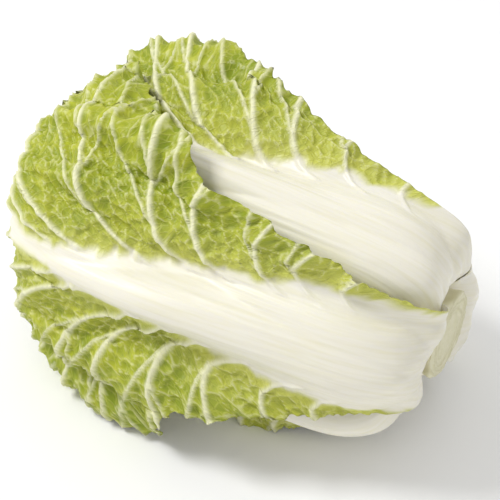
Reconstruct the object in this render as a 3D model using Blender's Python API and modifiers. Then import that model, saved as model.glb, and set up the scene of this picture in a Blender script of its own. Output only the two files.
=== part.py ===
"""Napa cabbage, a whole head lying on its side: a cut stem, wrapper leaves, heart leaves and a central bud.

The head lies along X with its cut stem at +X and its leaf tips at -X, and it rests on z = 0. Each leaf is one
closed shell, thick along its midrib and thin in its blade. The leaves are stacked outwards from the bud, and
each lies over the ones inside it. Sizes are in metres.
"""

import math

import bmesh
import bpy
import numpy as np

# Driving dimensions of the head.
HEAD_LENGTH = 0.280
CUT_X = 0.1404
AXIS_Y = 0.0049
STEM_CUT = 0.008
COVER_GAP = 0.0022
WRAPPER_SPACING = 0.0020
HEART_SPACING = 0.0012
FLOOR_STEP = 0.0024
MEET_GAP = 0.0005
BUD_GAP = 0.0038

# Faces of a leaf across and along it, and of the turned pieces round the axis.
WRAPPER_GRID = (16, 22)
HEART_GRID = (8, 12)
STEM_STEPS = 32
BUD_STEPS = 20

# Outer and inner outlines of the head: distance from the cut end, then radius.
OUTER_OUTLINE = [
    (0.014, 0.0270), (0.001, 0.044), (0.001, 0.063), (0.011, 0.080), (0.036, 0.091), (0.080, 0.094),
    (0.130, 0.096), (0.182, 0.099), (0.226, 0.100), (0.258, 0.092), (0.276, 0.069), (0.281, 0.040),
]
INNER_OUTLINE = [
    (0.064, 0.0150), (0.068, 0.0200), (0.078, 0.0250), (0.096, 0.0290), (0.118, 0.0315), (0.142, 0.0330),
    (0.166, 0.0330), (0.190, 0.0320), (0.212, 0.0290), (0.231, 0.0230), (0.244, 0.0150), (0.249, 0.0060),
]
# Height of the head's axis above the table, at the cut end and at the tips.
AXIS_HEIGHT = (0.0770, 0.0820)

# Half width of a leaf and of its midrib, and the midrib's thickness, along a leaf from its foot to its tip.
ALONG = [0.0, 0.12, 0.27, 0.43, 0.55, 0.66, 0.77, 0.86, 0.95, 1.0]
LEAF_HALF_WIDTH = [0.028, 0.039, 0.048, 0.056, 0.065, 0.079, 0.095, 0.108, 0.112, 0.106]
RIB_HALF_WIDTH = [0.026, 0.034, 0.037, 0.031, 0.024, 0.016, 0.010, 0.006, 0.004, 0.003]
RIB_THICKNESS = [0.0030, 0.0065, 0.0085, 0.0080, 0.0070, 0.0055, 0.0040, 0.0028, 0.0018, 0.0012]
BLADE_THICKNESS = 0.0010
DOME_RADIUS = 0.076

# Leaves from the outermost inwards: name, angle of the midrib round the axis (0 faces -Y, 90 faces up),
# width factor, reach towards the tip, how far its lower and upper margins stand off the head, the share of
# its length by which its lower and upper corners fall short of its tip, and how far its lower margin spreads
# out on the table.
WRAPPERS = [
    ("wrapper_leaf_front", 20, 1.04, 1.00, 0.020, 0.004, 0.20, 0.15, 0.000),
    ("wrapper_leaf_top", 70, 1.05, 0.98, 0.000, 0.018, 0.18, 0.06, 0.000),
    ("wrapper_leaf_back", 203, 1.00, 0.97, 0.000, 0.000, 0.10, 0.10, 0.000),
    ("wrapper_leaf_front_low", -36, 1.00, 0.95, 0.000, 0.000, 0.10, 0.10, 0.026),
    ("wrapper_leaf_under", -95, 0.95, 0.95, 0.000, 0.000, 0.10, 0.10, 0.000),
    ("wrapper_leaf_back_top", 122, 1.05, 0.96, 0.000, 0.000, 0.10, 0.10, 0.000),
    ("wrapper_leaf_back_low", 236, 0.95, 0.96, 0.000, 0.000, 0.10, 0.10, 0.000),
]
HEART_LEAVES = 12
GOLDEN_ANGLE = 137.5
HEART_START_ANGLE = 48


def curve_through(points, t):
    """Points of a Catmull-Rom curve through the given ones, at shares t (0 to 1) of the way along."""
    p = np.asarray(points, float)
    p = np.vstack([2 * p[0] - p[1], p, 2 * p[-1] - p[-2]])
    scaled = np.clip(t, 0, 1) * (len(p) - 3)
    i = np.minimum(scaled.astype(int), len(p) - 4)
    f = (scaled - i)[..., None]
    a, b, c, d = p[i], p[i + 1], p[i + 2], p[i + 3]
    return 0.5 * (2 * b + (c - a) * f + (2 * a - 5 * b + 4 * c - d) * f**2 + (3 * b - a - 3 * c + d) * f**3)


def even_shares(points, count=400):
    """The curve shares that lie evenly along the curve, as a table to read with np.interp."""
    t = np.linspace(0, 1, count)
    run = np.linalg.norm(np.diff(curve_through(points, t), axis=0), axis=1)
    length = np.concatenate([[0], np.cumsum(run)])
    return length / length[-1], t


SHARE_TABLE = even_shares(OUTER_OUTLINE)
STEPS_ALONG = np.linspace(0, 1, 60)


def outlines(along):
    """Inner and outer outline points (distance from the cut end, radius) at a share of the way to the tip."""
    share = np.interp(along, *SHARE_TABLE)
    return curve_through(INNER_OUTLINE, share), curve_through(OUTER_OUTLINE, share)


def fade(x):
    """Smooth step that is 0 below 0 and 1 above 1."""
    x = np.clip(x, 0, 1)
    return x * x * (3 - 2 * x)


class Leaf:
    """One leaf of the head. `inside` lists the leaves that it lies over, and `outside` those over it."""

    def __init__(self, name, angle, width, reach, low_lift, high_lift, low_corner, high_corner, spread, spacing):
        self.name = name
        self.angle = math.radians(angle)
        self.width = width
        self.reach = reach
        self.lift = low_lift, high_lift
        self.corner = low_corner, high_corner
        self.spread = spread
        self.spacing = spacing

    def half_angle(self, v):
        """Half of the angle that the leaf wraps round the axis, at share v of its length."""
        _, outer = outlines(v * self.reach)
        radius = np.where(v > 0.5, np.maximum(outer[..., 1], DOME_RADIUS), outer[..., 1])
        return self.width * np.interp(v, ALONG, LEAF_HALF_WIDTH) / radius

    def rib(self, across, v):
        """Thickness of the midrib at a sideways distance from the leaf's middle line."""
        share = np.clip(np.abs(across) / np.interp(v, ALONG, RIB_HALF_WIDTH), 0, 1)
        return np.interp(v, ALONG, RIB_THICKNESS) * (1 - share**2) ** 1.2

    def turn_from(self, theta):
        """Angle between the leaf's midrib and the given angle round the axis."""
        return np.abs((theta - self.angle + math.pi) % (2 * math.pi) - math.pi)

    def cover(self, theta, along):
        """1 where the leaf lies, fading to 0 beyond its margins."""
        _, outer = outlines(along)
        beyond = (self.turn_from(theta) - self.half_angle(np.clip(along / self.reach, 0, 1))) * outer[..., 1]
        return 1 - fade((beyond - 0.014) / 0.040)

    def layer(self, theta, along):
        """Height that this leaf adds under the leaves that lie over it."""
        _, outer = outlines(along)
        rib = self.rib(self.turn_from(theta) * outer[..., 1], np.clip(along / self.reach, 0, 1))
        return (BLADE_THICKNESS + rib + COVER_GAP) * self.cover(theta, along) + self.spacing

    def surface(self, u, v, side):
        """Points of the leaf. u runs across (-1 to 1), v from foot to tip, side is 0 inside and 1 outside."""
        along = v * self.reach * (1 - np.where(u < 0, *self.corner) * np.abs(u) ** 3)
        turn = u * self.half_angle(v) * (1 - 0.18 * fade((v - 0.8) / 0.2) * np.abs(u))
        theta = self.angle + turn
        inner, outer = outlines(along)
        height = sum((leaf.layer(theta, along) for leaf in self.inside), np.zeros_like(theta))
        full = np.interp(along, STEPS_ALONG, self.full_height)
        solid = BLADE_THICKNESS + self.rib(turn * outer[..., 1], v)
        ray = outer - inner
        share = height / full + side * solid / np.linalg.norm(ray, axis=-1)
        place = inner + ray * share[..., None]
        lift = np.where(u < 0, *self.lift) * fade((np.abs(u) - 0.35) / 0.65)
        place[..., 1] += lift * fade((v - 0.25) / 0.4) * (1 - 0.7 * fade((v - 0.85) / 0.15))
        spread = self.spread * fade((-u - 0.1) / 0.9) * fade((v - 0.15) / 0.3)
        under = sum((leaf.cover(theta, along) for leaf in self.outside), np.zeros_like(theta))
        points = on_table(theta, place, FLOOR_STEP * under + (1 - side) * BLADE_THICKNESS)
        points[..., 1] -= spread
        return points


def on_table(theta, place, lowest):
    """Row-frame points from the angle round the axis and the (distance, radius) place, kept above `lowest`."""
    distance, radius = place[..., 0], place[..., 1]
    axis = np.interp(distance / HEAD_LENGTH, [0, 1], AXIS_HEIGHT)
    z = axis + radius * np.sin(theta)
    return np.stack([CUT_X - distance, AXIS_Y - radius * np.cos(theta), np.maximum(z, lowest)], axis=-1)


def stacked_leaves():
    """All leaves from the innermost outwards, each knowing the leaves inside it."""
    rows = [
        (f"heart_leaf_{k + 1:02d}", HEART_START_ANGLE + k * GOLDEN_ANGLE, 1, 0.96, 0, 0, 0.1, 0.1, 0, HEART_SPACING)
        for k in range(HEART_LEAVES)
    ]
    leaves = [Leaf(*row) for row in rows[::-1] + [(*row, WRAPPER_SPACING) for row in WRAPPERS[::-1]]]
    around = np.linspace(0, 2 * math.pi, 72, endpoint=False)[:, None]
    full_height = np.mean(sum(leaf.layer(around, STEPS_ALONG[None]) for leaf in leaves), axis=0)
    for k, leaf in enumerate(leaves):
        leaf.inside = leaves[:k]
        leaf.outside = leaves[k + 1 :]
        leaf.full_height = full_height
    return leaves


# ---- build ----


def new_material(name, colour, roughness):
    """A Principled material of one colour and roughness."""
    material = bpy.data.materials.new(name)
    material.use_nodes = True
    shader = material.node_tree.nodes["Principled BSDF"]
    shader.inputs["Base Color"].default_value = (*colour, 1)
    shader.inputs["Roughness"].default_value = roughness
    return material


def build_leaf(leaf, across, lengthwise, material, collection):
    """A leaf as a flat plate in (u, v, side), closed by extrusion, then bent to the leaf's surface."""
    bm = bmesh.new()
    bmesh.ops.create_grid(bm, x_segments=across, y_segments=lengthwise, size=1)
    made = bmesh.ops.extrude_face_region(bm, geom=bm.faces[:], use_keep_orig=True)
    bmesh.ops.translate(bm, vec=(0, 0, 1), verts=[x for x in made["geom"] if isinstance(x, bmesh.types.BMVert)])
    mesh = bpy.data.meshes.new(leaf.name)
    bm.to_mesh(mesh)
    bm.free()
    plate = np.empty(len(mesh.vertices) * 3, np.float32)
    mesh.vertices.foreach_get("co", plate)
    u, v, side = plate.reshape(-1, 3).T.astype(float)
    step = (v + 1) / 2
    points = leaf.surface(u, step - 0.4 * np.sin(2 * math.pi * step) / (2 * math.pi), side)
    mesh.vertices.foreach_set("co", points.astype(np.float32).ravel())
    bm = bmesh.new()
    bm.from_mesh(mesh)
    bmesh.ops.recalc_face_normals(bm, faces=bm.faces[:])
    bm.to_mesh(mesh)
    bm.free()
    mesh.shade_smooth()
    mesh.materials.append(material)
    obj = bpy.data.objects.new(leaf.name, mesh)
    collection.objects.link(obj)


def build_turned(name, profile, steps, material, collection):
    """A solid turned round the head's axis from (distance from the cut end, radius) points."""
    mesh = bpy.data.meshes.new(name)
    edges = [(i, i + 1) for i in range(len(profile) - 1)]
    mesh.from_pydata([(radius, 0, distance) for distance, radius in profile], edges, [])
    mesh.materials.append(material)
    obj = bpy.data.objects.new(name, mesh)
    screw = obj.modifiers.new("Screw", "SCREW")
    screw.steps = steps
    screw.render_steps = steps
    screw.use_merge_vertices = True
    screw.merge_threshold = 0.0001
    screw.use_smooth_shade = True
    tilt = math.atan((AXIS_HEIGHT[1] - AXIS_HEIGHT[0]) / HEAD_LENGTH)
    obj.location = (CUT_X, AXIS_Y, AXIS_HEIGHT[0])
    obj.rotation_euler = (0, tilt - math.pi / 2, 0)
    collection.objects.link(obj)


def build_head():
    """Clears the scene and builds every piece of the head."""
    for obj in list(bpy.data.objects):
        bpy.data.objects.remove(obj, do_unlink=True)
    collection = bpy.data.collections.new("napa_cabbage")
    bpy.context.scene.collection.children.link(collection)
    wrapper_green = new_material("wrapper_green", (0.40, 0.45, 0.10), 0.45)
    heart_yellow = new_material("heart_yellow", (0.66, 0.64, 0.24), 0.45)
    stem_white = new_material("stem_white", (0.78, 0.74, 0.62), 0.55)

    for leaf in stacked_leaves():
        if leaf.name.startswith("wrapper"):
            build_leaf(leaf, *WRAPPER_GRID, wrapper_green, collection)
        else:
            build_leaf(leaf, *HEART_GRID, heart_yellow, collection)

    (top_distance, top_radius), (foot_distance, foot_radius) = INNER_OUTLINE[0], OUTER_OUTLINE[0]
    taper = (foot_radius - top_radius) / (top_distance - foot_distance)
    cut_radius = foot_radius + taper * (foot_distance - STEM_CUT) - MEET_GAP
    top = top_distance - MEET_GAP
    stem = [(top, 0), (top, top_radius - MEET_GAP), (STEM_CUT, cut_radius), (STEM_CUT, 0)]
    build_turned("stem", stem, STEM_STEPS, stem_white, collection)
    bud = [(distance, radius - BUD_GAP) for distance, radius in INNER_OUTLINE[::-1]]
    bud = [(bud[0][0], 0), *bud, (bud[-1][0], 0)]
    build_turned("heart_bud", bud, BUD_STEPS, heart_yellow, collection)


build_head()
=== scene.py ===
# %% [markdown]
# # A napa cabbage head lying on its side
# The head is a set of separate leaves that grow from one short stem and wrap round each other.
# It could be carved from one solid, but then no leaf could be lifted or recoloured by itself.
# So each leaf is its own closed shell, worked out as a surface over two parameters: across and along.

# %% Load the frame
import math

import bpy
import numpy as np
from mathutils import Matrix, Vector


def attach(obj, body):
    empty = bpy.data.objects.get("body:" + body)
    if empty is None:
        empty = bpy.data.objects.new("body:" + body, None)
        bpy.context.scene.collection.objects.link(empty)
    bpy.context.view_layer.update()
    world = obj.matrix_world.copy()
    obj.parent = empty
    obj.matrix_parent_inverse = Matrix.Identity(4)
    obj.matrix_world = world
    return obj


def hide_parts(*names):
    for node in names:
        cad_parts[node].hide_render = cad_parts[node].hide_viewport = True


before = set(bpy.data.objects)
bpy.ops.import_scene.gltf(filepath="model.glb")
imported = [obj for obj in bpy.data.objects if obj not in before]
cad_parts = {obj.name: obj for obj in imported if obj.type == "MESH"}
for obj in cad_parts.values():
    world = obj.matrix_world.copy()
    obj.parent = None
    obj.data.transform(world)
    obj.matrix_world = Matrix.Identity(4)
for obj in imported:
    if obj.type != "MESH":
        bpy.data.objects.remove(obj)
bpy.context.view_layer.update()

# %% [markdown]
# ## The shape of the whole head
# A real head is a stout barrel: narrow at the cut stem and full and blunt at the leaf tips.
# It is described by two outlines in the plane of the axis: where the innermost leaf lies, and where
# the outermost one does. Every leaf lies on a surface between the two, so they can't cut each other.
# The sizes are those of the frame, so each detailed leaf lies where its plain one does.

# %% Outlines of the head
CUT_X = 0.1404  # the cut end of the head
AXIS_Y = 0.0049
HEAD_LENGTH = 0.280
AXIS_HEIGHT = (0.0770, 0.0820)  # at the cut end and at the tip end
OUTER_OUTLINE = [
    (0.014, 0.0270), (0.001, 0.044), (0.001, 0.063), (0.011, 0.080), (0.036, 0.091), (0.080, 0.094),
    (0.130, 0.096), (0.182, 0.099), (0.226, 0.100), (0.258, 0.092), (0.276, 0.069), (0.281, 0.040),
]
INNER_OUTLINE = [
    (0.064, 0.0150), (0.068, 0.0200), (0.078, 0.0250), (0.096, 0.0290), (0.118, 0.0315), (0.142, 0.0330),
    (0.166, 0.0330), (0.190, 0.0320), (0.212, 0.0290), (0.231, 0.0230), (0.244, 0.0150), (0.249, 0.0060),
]


def curve_through(points, t):
    """Points of a Catmull-Rom curve through the given ones, at shares t (0 to 1) of the way along."""
    p = np.asarray(points, float)
    p = np.vstack([2 * p[0] - p[1], p, 2 * p[-1] - p[-2]])
    scaled = np.clip(t, 0, 1) * (len(p) - 3)
    i = np.minimum(scaled.astype(int), len(p) - 4)
    f = (scaled - i)[..., None]
    a, b, c, d = p[i], p[i + 1], p[i + 2], p[i + 3]
    square, cube = 2 * a - 5 * b + 4 * c - d, 3 * b - a - 3 * c + d
    return 0.5 * (2 * b + (c - a) * f + square * f**2 + cube * f**3)


OUTLINE_STEPS = 400
curve_share = np.linspace(0, 1, OUTLINE_STEPS)
steps = np.linalg.norm(np.diff(curve_through(OUTER_OUTLINE, curve_share), axis=0), axis=1)
walked = np.concatenate([[0], np.cumsum(steps)])
LEAF_LENGTH = walked[-1]
print(f"a leaf that runs the whole outline is {LEAF_LENGTH * 1000:.0f} mm long")


def outlines(along):
    """Points (distance from the cut, radius) of the inner and outer outlines at a share of the length."""
    share = np.interp(along, walked / LEAF_LENGTH, curve_share)
    return curve_through(INNER_OUTLINE, share), curve_through(OUTER_OUTLINE, share)


# %% [markdown]
# ## Smooth steps, tables and noise
# Leaf margins, wrinkles and spots are irregular but never random from one run to the next.
# Noise here is a fixed table of numbers, blended smoothly between its entries.
# Cells are the network that small veins draw: each place belongs to its nearest seed point, and a
# vein runs where the two nearest are equally far.


# %% Helpers for irregular surfaces
def fade(x):
    """Smooth step that is 0 below 0 and 1 above 1: 3x^2 - 2x^3."""
    x = np.clip(x, 0, 1)
    return x * x * (3 - 2 * x)


def table(x, xs, ys):
    """Smooth curve through (xs, ys): a cubic between each two points, with slopes from their neighbours."""
    xs, ys = np.asarray(xs, float), np.asarray(ys, float)
    slope = np.gradient(ys, xs)
    i = np.clip(np.searchsorted(xs, x, side="right") - 1, 0, len(xs) - 2)
    h = xs[i + 1] - xs[i]
    t = np.clip((x - xs[i]) / h, 0, 1)
    start, end = ys[i], ys[i + 1]
    return (
        start * (2 * t**3 - 3 * t**2 + 1)
        + end * (3 * t**2 - 2 * t**3)
        + h * (slope[i] * (t**3 - 2 * t**2 + t) + slope[i + 1] * (t**3 - t**2))
    )


LATTICE_SIZE = 128
LATTICE = np.random.default_rng(7).uniform(-1, 1, (3, LATTICE_SIZE, LATTICE_SIZE))


def noise(x, y, layer=0):
    """Smooth noise from -1 to 1: four lattice values blended by smooth steps between them."""
    ix, iy = np.floor(x).astype(int), np.floor(y).astype(int)
    fx, fy = fade(x - ix), fade(y - iy)
    grid, size = LATTICE[layer], LATTICE_SIZE
    low = grid[ix % size, iy % size] * (1 - fx) + grid[(ix + 1) % size, iy % size] * fx
    high = grid[ix % size, (iy + 1) % size] * (1 - fx) + grid[(ix + 1) % size, (iy + 1) % size] * fx
    return low * (1 - fy) + high * fy


SEED_SHIFT = 0.45  # how far a cell's seed may lie from the middle of its unit square


def cells(x, y):
    """How far a place is from the border of its cell: second nearest seed distance minus the nearest."""
    ix, iy = np.floor(x).astype(int), np.floor(y).astype(int)
    near = np.full(x.shape, 9.0)
    second = np.full(x.shape, 9.0)
    for dx in (-1, 0, 1):
        for dy in (-1, 0, 1):
            jx, jy = ix + dx, iy + dy
            away = np.hypot(
                jx + 0.5 + SEED_SHIFT * LATTICE[1][jx % LATTICE_SIZE, jy % LATTICE_SIZE] - x,
                jy + 0.5 + SEED_SHIFT * LATTICE[2][jx % LATTICE_SIZE, jy % LATTICE_SIZE] - y,
            )
            second = np.minimum(second, np.maximum(near, away))
            near = np.minimum(near, away)
    return second - near


# %% [markdown]
# ## How one leaf is shaped
# A napa leaf is a broad white midrib, thick as a finger at its foot, with a thin crinkled blade on
# each side that widens towards the tip. Wrapped on the head it covers part of the way round.
# Each leaf is stacked on the leaves inside it: its height is the sum of what they add under it.
# Where leaves reach the table they lie flat on it, one above another.

# %% Widths and thicknesses along a leaf
ALONG = [0.0, 0.12, 0.27, 0.43, 0.55, 0.66, 0.77, 0.86, 0.95, 1.0]
LEAF_HALF_WIDTH = [0.028, 0.039, 0.048, 0.056, 0.065, 0.079, 0.095, 0.108, 0.112, 0.106]
RIB_HALF_WIDTH = [0.026, 0.034, 0.037, 0.031, 0.024, 0.016, 0.010, 0.006, 0.004, 0.003]
RIB_THICKNESS = [0.0030, 0.0065, 0.0085, 0.0080, 0.0070, 0.0055, 0.0040, 0.0028, 0.0018, 0.0012]
BLADE_THICKNESS = 0.0010
DOME_RADIUS = 0.076  # least radius used for a leaf's width past the shoulder
COVER_GAP = 0.0022  # air over a leaf, where it covers
WRAPPER_SPACING = 0.0020  # height that a wrapper leaf adds all the way round
HEART_SPACING = 0.0012  # the same for a heart leaf
FLOOR_STEP = 0.0024  # height that a leaf on the table leaves free for each leaf under it
STEPS_ALONG = np.linspace(0, 1, 60)


class Leaf:
    """One leaf: where its midrib lies round the axis, and how wide and long it is.

    Lift, corner and spread come in the order of the leaf's two margins: low is u < 0, high is u > 0.
    Lift opens a margin outwards, corner shortens the leaf there, and spread pushes the low margin to -Y.
    """

    def __init__(self, name, angle, width, reach, low_lift, high_lift, low_corner, high_corner, spread,
                 spacing):
        self.name = name
        self.angle = math.radians(angle)
        self.width = width
        self.reach = reach
        self.lift = low_lift, high_lift
        self.corner = low_corner, high_corner
        self.spread = spread
        self.spacing = spacing
        self.seed = 11.3 * (angle % 360)

    def half_angle(self, v):
        """Half width over the radius there, as an angle; past the shoulder the dome's radius is used."""
        _, outer = outlines(v * self.reach)
        radius = outer[..., 1]
        radius = radius + (np.maximum(radius, DOME_RADIUS) - radius) * fade((v - 0.4) / 0.2)
        return self.width * table(v, ALONG, LEAF_HALF_WIDTH) / radius

    def rib(self, across, v):
        """Midrib thickness: highest on the middle line and falling to nothing at the rib's half width."""
        share = np.clip(np.abs(across) / table(v, ALONG, RIB_HALF_WIDTH), 0, 1)
        return table(v, ALONG, RIB_THICKNESS) * (1 - share**2) ** 1.2

    def turn_from(self, theta):
        """Angle between the midrib and the given angle round the axis."""
        return np.abs((theta - self.angle + math.pi) % (2 * math.pi) - math.pi)

    def beyond(self, theta, along):
        """Distance outside the leaf's margin, negative inside it: the extra angle times the radius."""
        _, outer = outlines(along)
        return (self.turn_from(theta) - self.half_angle(np.clip(along / self.reach, 0, 1))) * outer[..., 1]

    def cover(self, theta, along):
        """1 where the leaf lies, fading to 0 beyond its margins."""
        return 1 - fade((self.beyond(theta, along) - 0.014) / 0.040)

    def layer(self, theta, along):
        """Height that this leaf adds under those over it: its thickness and a gap, where it covers."""
        _, outer = outlines(along)
        rib = self.rib(self.turn_from(theta) * outer[..., 1], np.clip(along / self.reach, 0, 1))
        return (BLADE_THICKNESS + rib + COVER_GAP) * self.cover(theta, along) + self.spacing

    def place(self, u, v, side):
        """Points, angle and share of the length, for u across (-1 to 1), v along, side 0 in or 1 out.

        The stack's height is turned into a share of the way from the inner to the outer outline.
        """
        along = v * self.reach * (1 - np.where(u < 0, *self.corner) * np.abs(u) ** 3)
        turn = u * self.half_angle(v) * (1 - 0.18 * fade((v - 0.8) / 0.2) * np.abs(u))
        theta = self.angle + turn
        inner, outer = outlines(along)
        height = sum((leaf.layer(theta, along) for leaf in self.inside), np.zeros_like(theta))
        full = np.interp(along, STEPS_ALONG, self.full_height)
        solid = BLADE_THICKNESS + self.rib(turn * outer[..., 1], v)
        ray = outer - inner
        share = height / full + side * solid / np.linalg.norm(ray, axis=-1)
        place = inner + ray * share[..., None]
        lift = np.where(u < 0, *self.lift) * fade((np.abs(u) - 0.35) / 0.65)
        place[..., 1] += lift * fade((v - 0.25) / 0.4) * (1 - 0.7 * fade((v - 0.85) / 0.15))
        spread = self.spread * fade((-u - 0.1) / 0.9) * fade((v - 0.15) / 0.3)
        axis = np.interp(place[..., 0] / HEAD_LENGTH, [0, 1], AXIS_HEIGHT)
        points = np.stack([
            CUT_X - place[..., 0],
            AXIS_Y - spread - place[..., 1] * np.cos(theta),
            axis + place[..., 1] * np.sin(theta),
        ], axis=-1)
        return points, theta, along

    def floor(self, theta, along):
        """Lowest height the leaf may reach: one step for each leaf that lies under it there."""
        under = sum((leaf.cover(theta, along) for leaf in self.outside), np.zeros_like(theta))
        return FLOOR_STEP * under


# %% [markdown]
# ## The leaves of this head
# Seven wrapper leaves are loose enough to see, and twelve heart leaves fill the head inside them.
# A plant sets its leaves about 137.5 degrees apart, which is what the heart leaves follow.

# %% Leaves, set in a list from the innermost outwards
# name, angle, width, reach, low and high lift, low and high corner, spread
WRAPPERS = [
    ("wrapper_leaf_front", 20, 1.04, 1.00, 0.020, 0.004, 0.20, 0.15, 0.000),
    ("wrapper_leaf_top", 70, 1.05, 0.98, 0.000, 0.018, 0.18, 0.06, 0.000),
    ("wrapper_leaf_back", 203, 1.00, 0.97, 0.000, 0.000, 0.10, 0.10, 0.000),
    ("wrapper_leaf_front_low", -36, 1.00, 0.95, 0.000, 0.000, 0.10, 0.10, 0.026),
    ("wrapper_leaf_under", -95, 0.95, 0.95, 0.000, 0.000, 0.10, 0.10, 0.000),
    ("wrapper_leaf_back_top", 122, 1.05, 0.96, 0.000, 0.000, 0.10, 0.10, 0.000),
    ("wrapper_leaf_back_low", 236, 0.95, 0.96, 0.000, 0.000, 0.10, 0.10, 0.000),
]
HEART_LEAVES, FIRST_HEART_ANGLE, GOLDEN_ANGLE = 12, 48, 137.5
HEART_SHAPE = (1, 0.96, 0, 0, 0.1, 0.1, 0)  # width, reach, lifts, corners and spread of each
heart = [
    Leaf(f"heart_leaf_{k + 1:02d}", FIRST_HEART_ANGLE + k * GOLDEN_ANGLE, *HEART_SHAPE, HEART_SPACING)
    for k in range(HEART_LEAVES)
]
wrappers = [Leaf(*row, WRAPPER_SPACING) for row in WRAPPERS]
leaves = heart[::-1] + wrappers[::-1]
around = np.linspace(0, 2 * math.pi, 72, endpoint=False)[:, None]
full_height = np.mean(sum(leaf.layer(around, STEPS_ALONG[None]) for leaf in leaves), axis=0)
for k, leaf in enumerate(leaves):
    leaf.inside, leaf.outside, leaf.full_height = leaves[:k], leaves[k + 1 :], full_height
print(f"{len(leaves)} leaves, stacked {full_height.mean() * 1000:.0f} mm deep on average")

# %% [markdown]
# ## Veins
# Side veins leave the midrib almost along it, then swing out to the margin like a hockey stick, and
# fork on the way. Between them small veins make a net, and the blade sags between the veins.
# Painting the veins alone would look flat at the margins, so they are ridges of the mesh as well as
# a colour. A vein is the curve where the along-distance equals its start plus a bend plus a slope.


# %% Side veins and their net
VEINS_PER_SIDE = 10
BEND_REACH = 0.013  # distance from the midrib over which a side vein swings out
FORKS = ((0.016, 0.5), (0.034, -0.42), (0.052, 0.45))  # distance from the midrib, and slope off the vein
FORK_STRENGTH, FORK_BREADTH = 0.8, 0.62
CELL_UP, CELL_ACROSS = 0.0078, 0.0072


def side_veins(across, up, leaf, breadth=1.0):
    """Strength (0 to 1) of the nearest side vein, its width times breadth, on the flattened leaf.

    A vein that starts at height h is the curve up = h + bend (1 - exp(-d / 13 mm)) + slope d, and a small
    wander, with d the distance outside the midrib. Its strength is exp(-(distance / half width)^2). Each
    fork leaves it with a slope of its own.
    """
    strength = np.zeros_like(across)
    random = np.random.default_rng(int(leaf.seed))
    for side in (-1, 1):
        starts = np.linspace(0.20, 0.92, VEINS_PER_SIDE) + random.uniform(-0.020, 0.020, VEINS_PER_SIDE)
        for start in starts:
            height = start * leaf.reach * LEAF_LENGTH
            d = side * across - 0.75 * table(np.array(start), ALONG, RIB_HALF_WIDTH)
            slope = 0.35 + 1.0 * start + random.uniform(-0.06, 0.06)
            bend = 0.026 + random.uniform(-0.004, 0.004)
            wander = 0.0016 * noise(d * 60, np.full_like(d, start * 40))
            swing = np.exp(-np.maximum(d, 0) / BEND_REACH)
            curve = height + bend * (1 - swing) + slope * d + wander
            pitch = np.hypot(1, slope + bend / BEND_REACH * swing)
            size = breadth * (0.0018 if start > 0.35 else 0.0013) * (1 - 0.7 * np.clip(d / 0.10, 0, 1))
            strength = np.maximum(strength, (d > 0) * np.exp(-(((up - curve) / pitch / size) ** 2)))
            for fork, turn_off in FORKS:
                past = d - fork - random.uniform(-0.006, 0.006)
                branch = curve + turn_off * past
                pitch = np.hypot(1, slope + turn_off)
                line = (past > 0) * np.exp(-(((up - branch) / pitch / (FORK_BREADTH * size)) ** 2))
                strength = np.maximum(strength, FORK_STRENGTH * line * fade(past / 0.004))
    return strength


def vein_net(across, up, leaf):
    """Distance from the net of small veins, 0 on a vein; its cells slant with the side veins.

    The distance is that of cells() at (up - 0.8 |across|, across), each over its cell size, with a wobble.
    """
    slant = up - 0.8 * np.abs(across)
    wobble = 0.25 * noise(across * 170, up * 170, 1)
    return cells(slant / CELL_UP + wobble + leaf.seed, across / CELL_ACROSS + wobble)


# %% [markdown]
# ## From a leaf's formula to its mesh
# A leaf's grid is laid on its surface twice, once for its outer face and once for its inner one, and
# the two are joined round the rim, so every leaf is a closed shell. Both faces are then moved along
# the surface's own normal by the veins, the crinkles and the frills of the margin.


# %% Relief of a leaf
WHITE_HALF_WIDTH = [0.030, 0.038, 0.038, 0.028, 0.019, 0.0105, 0.0050, 0.0026, 0.0014, 0.0010]
BROAD_RIBS = {"wrapper_leaf_top": 1.15}  # leaves whose white part is broader than the table says
VEIN_HEIGHT, NET_HEIGHT, CELL_SAG, FOLD_HEIGHT = 0.0016, 0.0005, 0.0015, 0.0030
CRINKLE_HEIGHT, FRILL_HEIGHT, MARGIN_RISE, RIB_LINE_HEIGHT = 0.0014, 0.0034, 0.0024, 0.00062
FOLD_BREADTH = 4.5  # how many times a fold is as wide as the side vein that it follows


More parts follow.
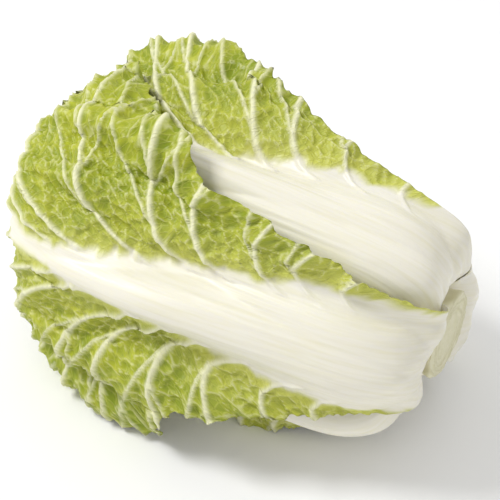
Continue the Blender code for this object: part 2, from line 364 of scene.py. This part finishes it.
def leaf_relief(leaf, u, v, theta, along):
    """Relief in metres along the normal, and what the finish reads: white, vein, pale, and tone with
    painted shade.

    Relief is the midrib's fine lines, plus, on the blade, folds and veins above a net of sagging cells,
    crinkles, and frills that grow towards the margin. It fades where another leaf lies over this one.
    """
    across = u * leaf.width * table(v, ALONG, LEAF_HALF_WIDTH)
    up = v * leaf.reach * LEAF_LENGTH
    s = leaf.seed
    rib_width = BROAD_RIBS.get(leaf.name, 1.0) * table(v, ALONG, WHITE_HALF_WIDTH)
    ragged = 0.0035 * noise(up * 90 + s, across * 40) + 0.0022 * noise(up * 260 + s, across * 60, 1)
    outside_rib = np.abs(across) - rib_width * 0.98 + ragged
    white = 1 - fade((outside_rib + 0.001) / 0.007)
    blade = fade(outside_rib / 0.012)
    veins = side_veins(across, up, leaf) * fade((outside_rib + 0.013) / 0.010)
    folds = side_veins(across, up, leaf, FOLD_BREADTH) * blade
    border = vein_net(across, up, leaf)
    net = (1 - fade(border / 0.16)) * blade
    sag = fade(border / 0.55) * blade
    hidden = np.zeros_like(u)
    for other in leaf.outside:
        hidden = np.maximum(hidden, 1 - fade((other.beyond(theta, along) + 0.010) / 0.010))
    edge = np.maximum(fade((np.abs(u) - 0.72) / 0.28) * fade((v - 0.25) / 0.2), fade((v - 0.88) / 0.12))
    crinkle = noise(across * 70 + s, up * 90) + 0.7 * noise(across * 170, up * 190 + s, 1)
    frill = noise(up * 55 + s, across * 45, 2) + 0.5 * noise(up * 130, across * 110 + s)
    relief = VEIN_HEIGHT * veins + NET_HEIGHT * net - CELL_SAG * sag * (1 - veins)
    relief = relief + FOLD_HEIGHT * (folds - 0.4)
    relief = relief + blade * CRINKLE_HEIGHT * (crinkle + 1) + edge * (FRILL_HEIGHT * frill + MARGIN_RISE)
    lines = noise(across * 170 + s, up * 4, 1) + 0.5 * noise(across * 420 + s, up * 7, 2)
    relief = relief + RIB_LINE_HEIGHT * lines * white * fade(v / 0.1)
    pale = np.exp(-np.maximum(outside_rib, 0) / (0.006 + 0.020 * (1 - v)))
    tone_and_shade = 0.5 + 0.25 * noise(across * 34 + s, up * 34) + 0.25 * noise(across * 90, up * 90 + s, 2)
    # Painted shade: the sunken middles of the cells are made darker and their borders lighter; the margins
    # are darker too.
    tone_and_shade = tone_and_shade + 0.40 * (sag - 0.5) + 0.15 * edge
    vein = np.maximum(veins, 0.45 * net)
    return relief * (1 - hidden), {"white": white, "vein": vein, "pale": pale, "tone_and_shade": tone_and_shade}


# %% The two faces of a leaf
def shell_faces(across, lengthwise):
    """Quads of a shell of two grids of points: the outer grid, the inner one turned over, and the rim."""
    n = across * lengthwise
    index = np.arange(n).reshape(across, lengthwise)
    corners = index[:-1, :-1], index[1:, :-1], index[1:, 1:], index[:-1, 1:]
    quads = np.stack(corners, axis=-1).reshape(-1, 4)
    rim = np.concatenate([index[:-1, 0], index[-1, :-1], index[:0:-1, -1], index[0, :0:-1]])
    following = np.roll(rim, -1)
    walls = np.stack([following, rim, rim + n, following + n], axis=-1)
    return np.concatenate([quads, quads[:, ::-1] + n, walls])


# Bays (below 0) and lobes (above 0) of a leaf's low margin: share of its length, and how far they go out
MARGIN_LOBES = {"wrapper_leaf_front": [(0.60, -0.07), (0.71, 0.07), (0.83, -0.07)]}
LOBE_LENGTH = 0.05
UV_PER_METRE, UV_START = 10, 2


def leaf_faces(leaf, across, lengthwise):
    """Points of a leaf's outer and inner face, its flattened coordinates as UVs, and what its finish reads.

    The margins and the tip are cut by noise that grows with |u|^4 and v^6. Both faces move by the relief
    along the outer face's normal, and neither goes below the height that the leaves under them need.
    """
    u, v = np.meshgrid(np.linspace(-1, 1, across), np.linspace(0, 1, lengthwise), indexing="ij")
    s = leaf.seed
    teeth = 0.045 * noise(v * 16 + s, np.sign(u) * 3.5 + s) + 0.022 * noise(v * 60 + s, np.sign(u) * 5.5, 1)
    if leaf.name in MARGIN_LOBES:
        teeth = teeth + sum(
            (u < 0) * size * np.exp(-(((v - middle) / LOBE_LENGTH) ** 2))
            for middle, size in MARGIN_LOBES[leaf.name]
        )
    u_cut = u * (1 + teeth * np.abs(u) ** 4 * fade((v - 0.2) / 0.2))
    v_cut = v * (1 - 0.020 * v**6 * (0.8 + noise(u * 9 + s, v * 0, 2) + 0.7 * noise(u * 30 + s, v * 0)))
    outer, theta, along = leaf.place(u_cut, v_cut, np.ones_like(u))
    inner, _, _ = leaf.place(u_cut, v_cut, np.zeros_like(u))
    normal = np.cross(np.gradient(outer, axis=0), np.gradient(outer, axis=1))
    normal = normal / np.linalg.norm(normal, axis=-1, keepdims=True)
    if (normal * (outer - inner)).sum() < 0:
        normal = -normal
    relief, finish = leaf_relief(leaf, u_cut, v_cut, theta, along)
    lowest = leaf.floor(theta, along)
    outer = outer + normal * relief[..., None]
    inner = inner + normal * relief[..., None]
    outer[..., 2] = np.maximum(outer[..., 2], lowest)
    inner[..., 2] = np.maximum(inner[..., 2], lowest + BLADE_THICKNESS)
    across_flat = u_cut * leaf.width * table(v_cut, ALONG, LEAF_HALF_WIDTH)
    flat = np.stack([across_flat, v_cut * leaf.reach * LEAF_LENGTH], axis=-1)
    return outer, inner, flat * UV_PER_METRE + UV_START, finish


# %% [markdown]
# ## From arrays to an object
# A mesh needs its points and faces, and here also a UV map and an attribute for each value that its
# finish reads. Adding them by hand for every piece would repeat itself, so one function does it.


# %% A piece from arrays
def new_piece(name, points, faces, finish, uv=None):
    """A smooth mesh object from points and faces, with an attribute for each finish value, and a UV map."""
    mesh = bpy.data.meshes.new(name)
    mesh.from_pydata(points.tolist(), [], faces)
    for key, values in finish.items():
        mesh.attributes.new(key, "FLOAT", "POINT").data.foreach_set("value", values.astype(np.float32))
    if uv is not None:
        corner = np.empty(len(mesh.loops), np.int32)
        mesh.loops.foreach_get("vertex_index", corner)
        mesh.uv_layers.new(name="flat").data.foreach_set("uv", uv[corner].astype(np.float32).ravel())
    mesh.shade_smooth()
    piece = bpy.data.objects.new(name, mesh)
    bpy.context.scene.collection.objects.link(piece)
    return piece


# %% [markdown]
# ## Shader maths as expressions
# A finish is worked out by nodes, and a chain of Math nodes built one by one is hard to read.
# A small class wraps a socket, so that a plain expression such as 1 - white adds its node by itself.


# %% Shader values as expressions
class Value:
    """A shader socket that adds Math nodes when it is used in an expression."""

    def __init__(self, tree, socket):
        self.tree, self.socket = tree, socket

    def math(self, operation, other, swap=False):
        node = self.tree.nodes.new("ShaderNodeMath")
        node.operation = operation
        pair = (other, self) if swap else (self, other)
        for slot, value in zip(node.inputs, pair):
            if isinstance(value, Value):
                self.tree.links.new(value.socket, slot)
            else:
                slot.default_value = value
        return Value(self.tree, node.outputs[0])

    def __add__(self, other):
        return self.math("ADD", other)

    def __radd__(self, other):
        return self.math("ADD", other, True)

    def __sub__(self, other):
        return self.math("SUBTRACT", other)

    def __rsub__(self, other):
        return self.math("SUBTRACT", other, True)

    def __mul__(self, other):
        return self.math("MULTIPLY", other)

    def __rmul__(self, other):
        return self.math("MULTIPLY", other, True)


class Finish:
    """A material being built: its node tree, its Principled shader, and one way to add any node."""

    def __init__(self, name):
        self.material = bpy.data.materials.new(name)
        self.material.use_nodes = True
        self.tree = self.material.node_tree
        self.shader = self.tree.nodes["Principled BSDF"]

    def node(self, kind, settings=None, inputs=None, output=0):
        """Any node, from its type, its settings, which are set first, and its sockets' values or links."""
        node = self.tree.nodes.new(kind)
        for key, value in (settings or {}).items():
            setattr(node, key, value)
        for key, value in (inputs or {}).items():
            self.feed(node.inputs[key], value)
        return Value(self.tree, node.outputs[output])

    def feed(self, socket, value):
        if isinstance(value, Value):
            self.tree.links.new(value.socket, socket)
        else:
            socket.default_value = value

    def attribute(self, name):
        """The value of one of the mesh's attributes."""
        return self.node("ShaderNodeAttribute", {"attribute_name": name}, output="Fac")

    def mix(self, amount, start, end):
        """Colour from start (amount 0) to end (amount 1).

        A Mix node has sockets of one name for each data type, so the colour ones are taken by number.
        """
        settings = {"data_type": "RGBA", "clamp_factor": True}
        return self.node("ShaderNodeMix", settings, {0: amount, 6: start, 7: end}, output=2)

    def set(self, **inputs):
        """Feed sockets of the shader, with an underscore for each space in a socket's name."""
        for key, value in inputs.items():
            self.feed(self.shader.inputs[key.replace("_", " ")], value)


# %% [markdown]
# ## The finish of a leaf
# The midrib is waxy and near white, the blade a bright yellow green that pales towards the midrib
# and along each vein. A pattern of its own would slide over the relief, so the finish reads the mesh's
# attributes, which keep the colour exactly on the relief, and adds only speckles, a fine net and streaks.


# %% Leaf finish
def leaf_finish(name, deep, bright, pale_green, vein_colour, rib_colour):
    """Blade colour from bright to deep by tone and painted shade, then pale near the midrib, then veins,
    then the midrib.

    The fine net is 1 - 9 x the distance to a Voronoi edge; the midrib's streaks are noise that is
    squeezed across it and drawn out along it.
    """
    finish = Finish(name)
    flat = finish.node("ShaderNodeUVMap", {"uv_map": "flat"}, output="UV")
    speckle = finish.node(
        "ShaderNodeTexNoise", inputs={"Vector": flat, "Scale": 22.0, "Detail": 5.0}, output="Fac"
    )
    fine = finish.node(
        "ShaderNodeTexVoronoi", {"feature": "DISTANCE_TO_EDGE"}, {"Vector": flat, "Scale": 26.0}, "Distance"
    )
    white, vein = finish.attribute("white"), finish.attribute("vein")
    pale, tone_and_shade = finish.attribute("pale"), finish.attribute("tone_and_shade")
    net = (1 - fine * 9.0).math("MAXIMUM", 0.0) * (1 - white)
    colour = finish.mix(tone_and_shade + (speckle - 0.5) * 0.9, bright, deep)
    colour = finish.mix(net * 0.35, colour, pale_green)
    colour = finish.mix(pale * 0.95 + (speckle - 0.5) * 0.3 * pale, colour, pale_green)
    colour = finish.mix((vein - 0.12) * 1.35, colour, vein_colour)
    drawn_out = finish.node(
        "ShaderNodeVectorMath", {"operation": "MULTIPLY"}, {0: flat, 1: (14.0, 0.8, 1.0)}
    )
    streak = finish.node(
        "ShaderNodeTexNoise", inputs={"Vector": drawn_out, "Scale": 3.0, "Detail": 3.0}, output="Fac"
    )
    red, green, blue, _ = rib_colour
    rib = finish.mix((streak - 0.42) * 2.2, rib_colour, (red * 0.93, green * 0.92, blue * 0.80, 1))
    colour = finish.mix(white, colour, rib)
    finish.set(Base_Color=colour, Roughness=0.46 - white * 0.10, Specular_IOR_Level=0.45)
    finish.set(Subsurface_Weight=0.12, Subsurface_Radius=(1.0, 0.9, 0.35), Subsurface_Scale=0.004)
    height = net * 0.35 + speckle * 0.7 * (1 - white) + streak * 0.35 * white
    bump = finish.node("ShaderNodeBump", inputs={"Strength": 0.6, "Distance": 0.0012, "Height": height})
    finish.set(Normal=bump)
    return finish.material


wrapper_green = leaf_finish(
    "wrapper_green",
    deep=(0.22, 0.285, 0.004, 1),
    bright=(0.48, 0.51, 0.026, 1),
    pale_green=(0.62, 0.63, 0.14, 1),
    vein_colour=(0.80, 0.79, 0.50, 1),
    rib_colour=(0.84, 0.81, 0.70, 1),
)
heart_yellow = leaf_finish(
    "heart_yellow",
    deep=(0.56, 0.57, 0.14, 1),
    bright=(0.74, 0.72, 0.30, 1),
    pale_green=(0.80, 0.78, 0.46, 1),
    vein_colour=(0.82, 0.80, 0.60, 1),
    rib_colour=(0.86, 0.83, 0.70, 1),
)
for material in (wrapper_green, heart_yellow):
    print(material.name, len(material.node_tree.nodes), "nodes")

# %% [markdown]
# ## Building the leaves
# A wrapper leaf shows its veins and crinkles from near by, so its grid is fine. A heart leaf shows only
# its rim at the tip end, and a coarse grid keeps the whole head light. Each piece replaces the plain
# leaf of the same name and rides the head's one body.

# %% Build every leaf
WRAPPER_GRID, HEART_GRID = (180, 240), (50, 70)

for leaf in leaves:
    is_wrapper = leaf in wrappers
    grid = WRAPPER_GRID if is_wrapper else HEART_GRID
    outer, inner, flat, looks = leaf_faces(leaf, *grid)
    points = np.concatenate([outer.reshape(-1, 3), inner.reshape(-1, 3)])
    looks = {key: np.tile(values.ravel(), 2) for key, values in looks.items()}
    uv = np.tile(flat.reshape(-1, 2), (2, 1))
    piece = new_piece(leaf.name + "_blade", points, shell_faces(*grid).tolist(), looks, uv)
    piece.data.materials.append(wrapper_green if is_wrapper else heart_yellow)
    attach(piece, "root")
    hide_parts(leaf.name)
    print(leaf.name, len(piece.data.polygons), "faces")

# %% [markdown]
# ## The cut stem
# The stem is cut across with one stroke, so its face is nearly flat, with the arcs where leaf bases were
# cut through. A cylinder would look like a dowel, so it is a profile turned round the head's axis, with
# the arcs raised on its face and shallow flutes down its side.


# %% Stem shape
STEM_CUT, STEM_GAP = 0.008, 0.0005
STEM_STEPS, STEM_RINGS = 96, 70


def stem_surface(turn, share):
    """Points of the stem at an angle and a share: 0 the cut face's middle, 0.5 its rim, 1 the top's middle.

    On the face the radius grows with the share; its middle is dished by 1.5 mm, its rim is rounded by
    1 mm, and arcs (a sine of the radius) and grain (noise) of 0.4 mm each rise from it. Past the rim the
    radius falls in a straight line to the top, and the last twentieth closes it. Seven shallow flutes
    take up to a twentieth off the radius.
    """
    (top, top_radius), (foot, foot_radius) = INNER_OUTLINE[0], OUTER_OUTLINE[0]
    rim = foot_radius + (foot_radius - top_radius) / (top - foot) * (foot - STEM_CUT) - STEM_GAP
    face = np.clip(share / 0.5, 0, 1)
    down = np.clip((share - 0.5) / 0.45, 0, 1)
    cap = np.clip((share - 0.95) / 0.05, 0, 1)
    radius = (rim * face + (top_radius - STEM_GAP - rim) * down) * (1 - cap)
    radius = radius * (1 - 0.05 * (1 + np.cos(7 * turn + 1)) * fade((share - 0.2) / 0.3) / 2)
    arcs = np.sin(radius * 1500 + 2.0 * np.cos(3 * turn + 9 * face))
    arcs = arcs * fade((face - 0.35) / 0.3) * (1 - down)
    rough = noise(radius * 700 * np.cos(turn) + 9, radius * 700 * np.sin(turn) + 9)
    distance = STEM_CUT + (top - STEM_GAP - STEM_CUT) * down - (1 - down) * (0.0004 * arcs + 0.0004 * rough)
    distance = distance + 0.0015 * (1 - face) + 0.001 * fade((face - 0.9) / 0.1) * (1 - down)
    axis = np.interp(distance / HEAD_LENGTH, [0, 1], AXIS_HEIGHT)
    points = [CUT_X - distance, AXIS_Y - radius * np.cos(turn), axis + radius * np.sin(turn)]
    return np.stack(points, axis=-1), arcs * (1 - down)


# %% Grid and faces of a turned shape
def turned_grid(round_steps, shares):
    """Angle and share of each point: a ring of equal steps at each share."""
    return np.meshgrid(np.linspace(0, 2 * math.pi, round_steps, endpoint=False), shares)


def turned_faces(round_steps, rings):
    """Quads between rings of points, and triangles to a pole point at each end, all facing outwards."""
    ring, step = np.meshgrid(np.arange(rings - 1), np.arange(round_steps), indexing="ij")
    a, b = ring * round_steps + step, ring * round_steps + (step + 1) % round_steps
    quads = np.stack([a, b, b + round_steps, a + round_steps], axis=-1).reshape(-1, 4).tolist()
    start, end, last = rings * round_steps, rings * round_steps + 1, (rings - 1) * round_steps
    k = np.arange(round_steps)
    fan = np.stack([np.full_like(k, start), (k + 1) % round_steps, k], axis=-1).tolist()
    far = np.stack([np.full_like(k, end), last + k, last + (k + 1) % round_steps], axis=-1).tolist()
    return quads + fan + far


# %% Build the stem
turn, share = turned_grid(STEM_STEPS, np.linspace(0.01, 0.995, STEM_RINGS))
rings, arcs = stem_surface(turn, share)
poles, _ = stem_surface(np.zeros(2), np.array([0.0, 1.0]))
points = np.concatenate([rings.reshape(-1, 3), poles])
arc = np.concatenate([arcs.ravel(), [0, 0]])
cut_stem = new_piece("cut_stem", points, turned_faces(STEM_STEPS, STEM_RINGS), {"arc": arc})
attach(cut_stem, "root")
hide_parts("stem")
print("cut stem:", len(cut_stem.data.polygons), "faces")

# %% [markdown]
# ## The finish of the stem
# Cut flesh is a dull cream that mottles, and it browns along the arcs. The mottling is noise on the
# piece's own coordinates, because it needn't follow anything; the browning follows the arcs' attribute.

# %% Stem finish
stem_finish = Finish("stem_white")
place = stem_finish.node("ShaderNodeTexCoord", output="Object")
mottle = stem_finish.node(
    "ShaderNodeTexNoise", inputs={"Vector": place, "Scale": 160.0, "Detail": 5.0}, output="Fac"
)
flesh = stem_finish.mix(mottle, (0.80, 0.76, 0.60, 1), (0.66, 0.64, 0.38, 1))
browned = stem_finish.mix(stem_finish.attribute("arc") * 0.4, flesh, (0.46, 0.42, 0.20, 1))
stem_finish.set(Base_Color=browned, Roughness=0.6)
cut_stem.data.materials.append(stem_finish.material)
print(stem_finish.material.name, len(stem_finish.tree.nodes), "nodes")

# %% [markdown]
# ## The bud
# The innermost leaves are folded so tightly that they read as one pleated bud, which shows at the tip
# end. More and smaller leaves could fill the place, but only their folded edges would show. So it is one
# turned shape that follows the inner outline, with pleats that wind round it as those edges do.


# %% Bud shape
BUD_GAP = 0.0038
PLEAT_DEPTH, BUD_GRAIN = 0.0022, 0.0005
BUD_STEPS, BUD_RINGS = 140, 110


def bud_surface(turn, share):
    """Points of the bud: the inner outline less a gap, turned round the axis, less pleats 2.2 mm deep.

    A pleat's depth is the square of a sine of the angle and the share, so its edges wind round the bud.
    The last tenth of the share closes the bud in a low dome.
    """
    outline = curve_through(INNER_OUTLINE, share)
    cap = np.clip((share - 0.90) / 0.10, 0, 1)
    start = fade(share / 0.03)
    pleat = np.sin(3 * turn + 11 * share + 0.6 * noise(turn * 2, share * 14)) ** 2
    rough = noise(turn * 9, share * 60) + 0.5 * noise(turn * 21, share * 130, 1)
    radius = outline[..., 1] - BUD_GAP - PLEAT_DEPTH * pleat - BUD_GRAIN * (1 + rough)
    radius = radius * np.sqrt(1 - cap**2) * start
    distance = outline[..., 0] - 0.002 * pleat * cap
    axis = np.interp(distance / HEAD_LENGTH, [0, 1], AXIS_HEIGHT)
    points = [CUT_X - distance, AXIS_Y - radius * np.cos(turn), axis + radius * np.sin(turn)]
    return np.stack(points, axis=-1), pleat


# %% Build the bud
turn, share = turned_grid(BUD_STEPS, np.linspace(0.004, 0.998, BUD_RINGS))
rings, pleat = bud_surface(turn, share)
poles, _ = bud_surface(np.zeros(2), np.array([0.0, 1.0]))
points = np.concatenate([rings.reshape(-1, 3), poles])
uv = np.concatenate([np.stack([turn * 0.3 + 2, share * 2 + 2], axis=-1).reshape(-1, 2), [[2, 2], [2, 4]]])
# Painted shade: the deeper a pleat's groove, the darker its tone and the less pale green it gets.
tone_and_shade = np.concatenate([(0.2 + 0.7 * pleat).ravel(), [0.5, 0.5]])
looks = {"white": tone_and_shade * 0, "vein": tone_and_shade * 0 + 0.1, "pale": 0.6 - 0.4 * tone_and_shade, "tone_and_shade": tone_and_shade}
bud = new_piece("pleated_bud", points, turned_faces(BUD_STEPS, BUD_RINGS), looks, uv)
bud.data.materials.append(heart_yellow)
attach(bud, "root")
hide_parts("heart_bud")
print("bud:", len(bud.data.polygons), "faces")

# %% [markdown]
# ## The floor
# A sheet of plain pale paper runs far past the head, so that no edge of it shows.

# %% Floor
FLOOR_HALF = 8
floor_mesh = bpy.data.meshes.new("floor")
floor_corners = [(x * FLOOR_HALF, y * FLOOR_HALF, 0) for x, y in ((-1, -1), (1, -1), (1, 1), (-1, 1))]
floor_mesh.from_pydata(floor_corners, [], [(0, 1, 2, 3)])
floor = bpy.data.objects.new("floor", floor_mesh)
bpy.context.scene.collection.objects.link(floor)
paper = Finish("white_floor")
paper.set(Base_Color=(0.97, 0.97, 0.97, 1), Roughness=0.9)
floor.data.materials.append(paper.material)
print("floor:", 2 * FLOOR_HALF, "m wide")

# %% [markdown]
# ## The lights
# A small strong light above the tip end brings out the crinkles, because it rakes across them. Two large
# weak ones and a pale sky keep the shadows open, as a white studio does.


# %% Lights
def soft_light(name, place, size, power):
    """A square area light aimed at the middle of the head."""
    light = bpy.data.lights.new(name, "AREA")
    light.size = size
    light.energy = power
    lamp = bpy.data.objects.new(name, light)
    lamp.location = place
    lamp.rotation_euler = (Vector((0, 0, 0.08)) - Vector(place)).to_track_quat("-Z", "Y").to_euler()
    bpy.context.scene.collection.objects.link(lamp)
    print(name, "light:", power, "W")


soft_light("key", (-0.9, -0.5, 1.5), 0.55, 19)
soft_light("fill", (1.4, -0.9, 0.9), 1.2, 3)
soft_light("back", (0.2, 1.4, 1.2), 1.2, 5)
world = bpy.data.worlds.new("studio")
bpy.context.scene.world = world
world.use_nodes = True
sky = world.node_tree.nodes["Background"]
sky.inputs["Color"].default_value = (1, 1, 1, 1)
sky.inputs["Strength"].default_value = 0.56
bpy.context.scene.view_settings.view_transform = "Standard"

# %% [markdown]
# ## The camera
# The head is seen from its front and its cut end, well from above, by a long lens that hardly bends its
# proportions. The camera is placed by two angles and a distance from the point it looks at.

# %% Camera
azimuth, elevation, distance = math.radians(30), math.radians(40), 0.735
target = Vector((-0.002, AXIS_Y, 0.086))
back = Vector((
    math.sin(azimuth) * math.cos(elevation), -math.cos(azimuth) * math.cos(elevation), math.sin(elevation)))
lens = bpy.data.cameras.new("camera")
lens.lens = 85
camera = bpy.data.objects.new("camera", lens)
camera.location = target + back * distance
camera.rotation_euler = (-back).to_track_quat("-Z", "Y").to_euler()
bpy.context.scene.collection.objects.link(camera)
bpy.context.scene.camera = camera
print("camera at", [round(value, 3) for value in camera.location])
